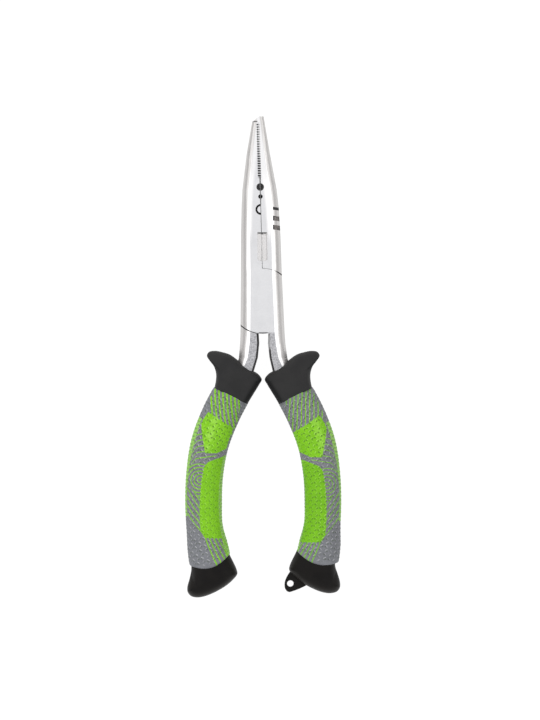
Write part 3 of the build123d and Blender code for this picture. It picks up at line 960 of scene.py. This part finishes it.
def finger_guard(side, material):
    """The black guard: a thick body whose wing thins towards its tip, cut off at the grip."""
    tip = mirrored(side, [WING_TIP])[0]

    def thinner_wing(x, y):
        reach = np.clip(np.hypot(x - tip[0], y - tip[1]) / WING_REACH, 0, 1)
        return WING_THINNEST + (1 - WING_THINNEST) * reach ** 1.2

    piece = pillow(
        SIDE_NAMES[side] + "_guard", mirrored(side, GUARD_OUTLINE),
        mirrored(side, [GUARD_CENTRE])[0], GUARD_HALF_HEIGHT, GUARD_FULLNESS, thinner_wing,
        material)
    centre, outward, down = handle_frame(side, GUARD_LINE)
    cut_below(piece, centre, Vector(down) - GUARD_LINE_LEAN * Vector(outward))
    return piece


def end_cap(side, material):
    """The black cap: slimmer where the grip's lip laps it, and full at the bottom."""
    rise = CAP_RISE[side]
    outline = [(x + CAP_FLARE[side] * (x > CAP_FLARE_FROM), y) for x, y in CAP_OUTLINE]

    def slimmer_neck(x, y):
        p, s = handle_coordinates(side, x, y)
        neck = np.clip((NECK_END + SLEEVE_TRIM[side] - s) / NECK_LENGTH, 0, 1)
        across = np.clip(np.abs(p - NECK_CENTRE) / NECK_HALF_WIDTH, 0, 0.98)
        section = (1 - across**NECK_SQUARENESS) ** (1 / NECK_SQUARENESS)
        return 1 + neck * (NECK_THICKNESS * section - 1)

    piece = pillow(
        SIDE_NAMES[side] + "_cap", mirrored(side, outline, rise),
        mirrored(side, [CAP_CENTRE], rise)[0], CAP_HALF_HEIGHT, CAP_FULLNESS, slimmer_neck,
        material)
    centre, _, down = handle_frame(side, CAP_START + SLEEVE_TRIM[side])
    cut_below(piece, centre, -Vector(down))
    return piece


def lanyard_ear(record, material):
    """The thin ear of the right cap, rounded at its rim and round the hole."""
    mount = [m for m in record["mounts"] if m["name"] == "lanyard_hole"][0]
    hole = np.array(mount["pos_m"][:2]) / MM
    radius = mount["dims"]["r_mm"]
    half = mount["dims"]["length_mm"] / 2
    rim = closed_curve(EAR_OUTLINE, OUTLINE_POINTS)
    angles = np.arctan2(rim[:, 1] - hole[1], rim[:, 0] - hole[0])
    edge = hole + radius * np.column_stack([np.cos(angles), np.sin(angles)])
    rings = []
    for turn in np.linspace(0, 2 * pi, EAR_RINGS, endpoint=False):
        share = 0.5 - 0.5 * np.sign(cos(turn)) * abs(cos(turn)) ** EAR_EDGE_ROUNDING
        level = np.sign(sin(turn)) * abs(sin(turn)) ** EAR_FACE_ROUNDING
        flat = edge + share * (rim - edge)
        rings.append(np.column_stack([flat, np.full(OUTLINE_POINTS, MID_Z + half * level)]))
    faces = grid_faces(EAR_RINGS, OUTLINE_POINTS)
    last = (EAR_RINGS - 1) * OUTLINE_POINTS
    for k in range(OUTLINE_POINTS):
        following = (k + 1) % OUTLINE_POINTS
        faces.append((last + k, last + following, following, k))
    ear = make_object("lanyard_ear", np.concatenate(rings), faces, material)
    tidy_normals(ear)
    return ear


# ---------------------------------------------------------------- assembly

guard_plastic = black_moulding(
    "guard_plastic", GUARD_DARK, GUARD_LIGHT, roughness=0.52, shine=0.22,
    grain_mm=0.25, grain_depth=0.02, under_rim_shading=-1.0)
cap_plastic = black_moulding(
    "cap_plastic", CAP_DARK, CAP_LIGHT, roughness=0.40, shine=0.11,
    grain_mm=0.35, grain_depth=0.008, under_rim_shading=1.0)
grip_material = grip_rubber()
steel_material = forged_steel()
core_material = core_plastic()

for node_name, node in frame["nodes"].items():
    material = core_material if node_name.endswith("core") else steel_material
    for slot in node.material_slots:
        slot.material = material

for side in (LEFT, RIGHT):
    name = SIDE_NAMES[side]
    body = SIDE_BODIES[side]
    for piece, node_name, slot_name in (
        (finger_guard(side, guard_plastic), name + "_finger_guard", "guard_plastic"),
        (grip_sleeve(side, grip_material), name + "_grip_sleeve", "grip_rubber"),
        (end_cap(side, cap_plastic), name + "_end_cap", "cap_plastic"),
    ):
        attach(piece, body)
        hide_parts(node_name)
ear = lanyard_ear(frame["record"], cap_plastic)
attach(ear, "front")


# ---------------------------------------------------------------- stage

FLOOR_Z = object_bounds()[0][2]
FLOOR_HALF = 1.6
FLOOR_GLOW = 0.97
FLOOR_TONES = ((0.07, 0.07, 0.07), (0.08, 0.08, 0.08))
KEY_PLACE = (-0.80, 0.45, 0.62)
KEY_AIM = (0, -0.02, 0)
KEY_SIZE = 0.30
KEY_POWER = 4.2
ROOM_GLOW = 0.86
ROOM_BRIGHTER = 0.62
VIEW_CENTRE = (3.4, -26.5)
CAMERA_HEIGHT = 1200.0
CAMERA_ABOVE_MIDDLE = 3
VIEW_HEIGHT = 324.0
SENSOR = 36.0


def studio_floor():
    """White paper, partly lit from within so that it shows almost no shadow."""
    mesh = bpy.data.meshes.new("floor")
    half = FLOOR_HALF
    mesh.from_pydata(
        [(-half, -half, FLOOR_Z), (half, -half, FLOOR_Z), (half, half, FLOOR_Z),
         (-half, half, FLOOR_Z)], [], [(0, 1, 2, 3)])
    floor = bpy.data.objects.new("floor", mesh)
    bpy.context.scene.collection.objects.link(floor)
    paper = Surface("white_paper", Roughness=0.9, Specular_IOR_Level=0.1,
                    Emission_Color=(1, 1, 1, 1), Emission_Strength=FLOOR_GLOW)
    paper.set("Base Color", paper.mix(paper.noise(40.0, detail=1.0), *FLOOR_TONES))
    floor.data.materials.append(paper.material)


def key_light():
    """A softbox at the upper left, which isn't seen in the steel."""
    light = bpy.data.lights.new("key", "AREA")
    light.shape = "RECTANGLE"
    light.size = light.size_y = KEY_SIZE
    light.energy = KEY_POWER
    lamp = bpy.data.objects.new("key", light)
    lamp.location = KEY_PLACE
    aim = Vector(KEY_AIM) - Vector(KEY_PLACE)
    lamp.rotation_euler = aim.to_track_quat("-Z", "Y").to_euler()
    lamp.visible_glossy = False
    bpy.context.scene.collection.objects.link(lamp)


def white_room():
    """A white room that is brightest in a ring part-way up."""
    world = bpy.data.worlds.new("studio")
    bpy.context.scene.world = world
    world.use_nodes = True
    tree = world.node_tree
    coordinates = tree.nodes.new("ShaderNodeTexCoord")
    split = tree.nodes.new("ShaderNodeSeparateXYZ")
    tree.links.new(coordinates.outputs["Generated"], split.inputs[0])
    height = Field(tree, split.outputs["Z"])
    glow = (height.ramp(0.40, 0.54) * ROOM_BRIGHTER - height.ramp(0.88, 0.975) * ROOM_BRIGHTER
            + ROOM_GLOW)
    tree.links.new(glow.socket, tree.nodes["Background"].inputs["Strength"])
    tree.nodes["Background"].inputs["Color"].default_value = (1, 1, 1, 1)


def overhead_camera():
    """A camera straight above the front face, far enough away to show little perspective."""
    camera = bpy.data.cameras.new("camera")
    camera.sensor_width = SENSOR
    camera.lens = SENSOR * CAMERA_HEIGHT / VIEW_HEIGHT
    camera.clip_end = 20.0
    eye = bpy.data.objects.new("camera", camera)
    eye_z = (CAMERA_HEIGHT + MID_Z + CAMERA_ABOVE_MIDDLE) * MM
    eye.location = (VIEW_CENTRE[0] * MM, VIEW_CENTRE[1] * MM, eye_z)
    bpy.context.scene.collection.objects.link(eye)
    bpy.context.scene.camera = eye


studio_floor()
white_room()
key_light()
overhead_camera()
bpy.context.scene.view_settings.view_transform = "Standard"
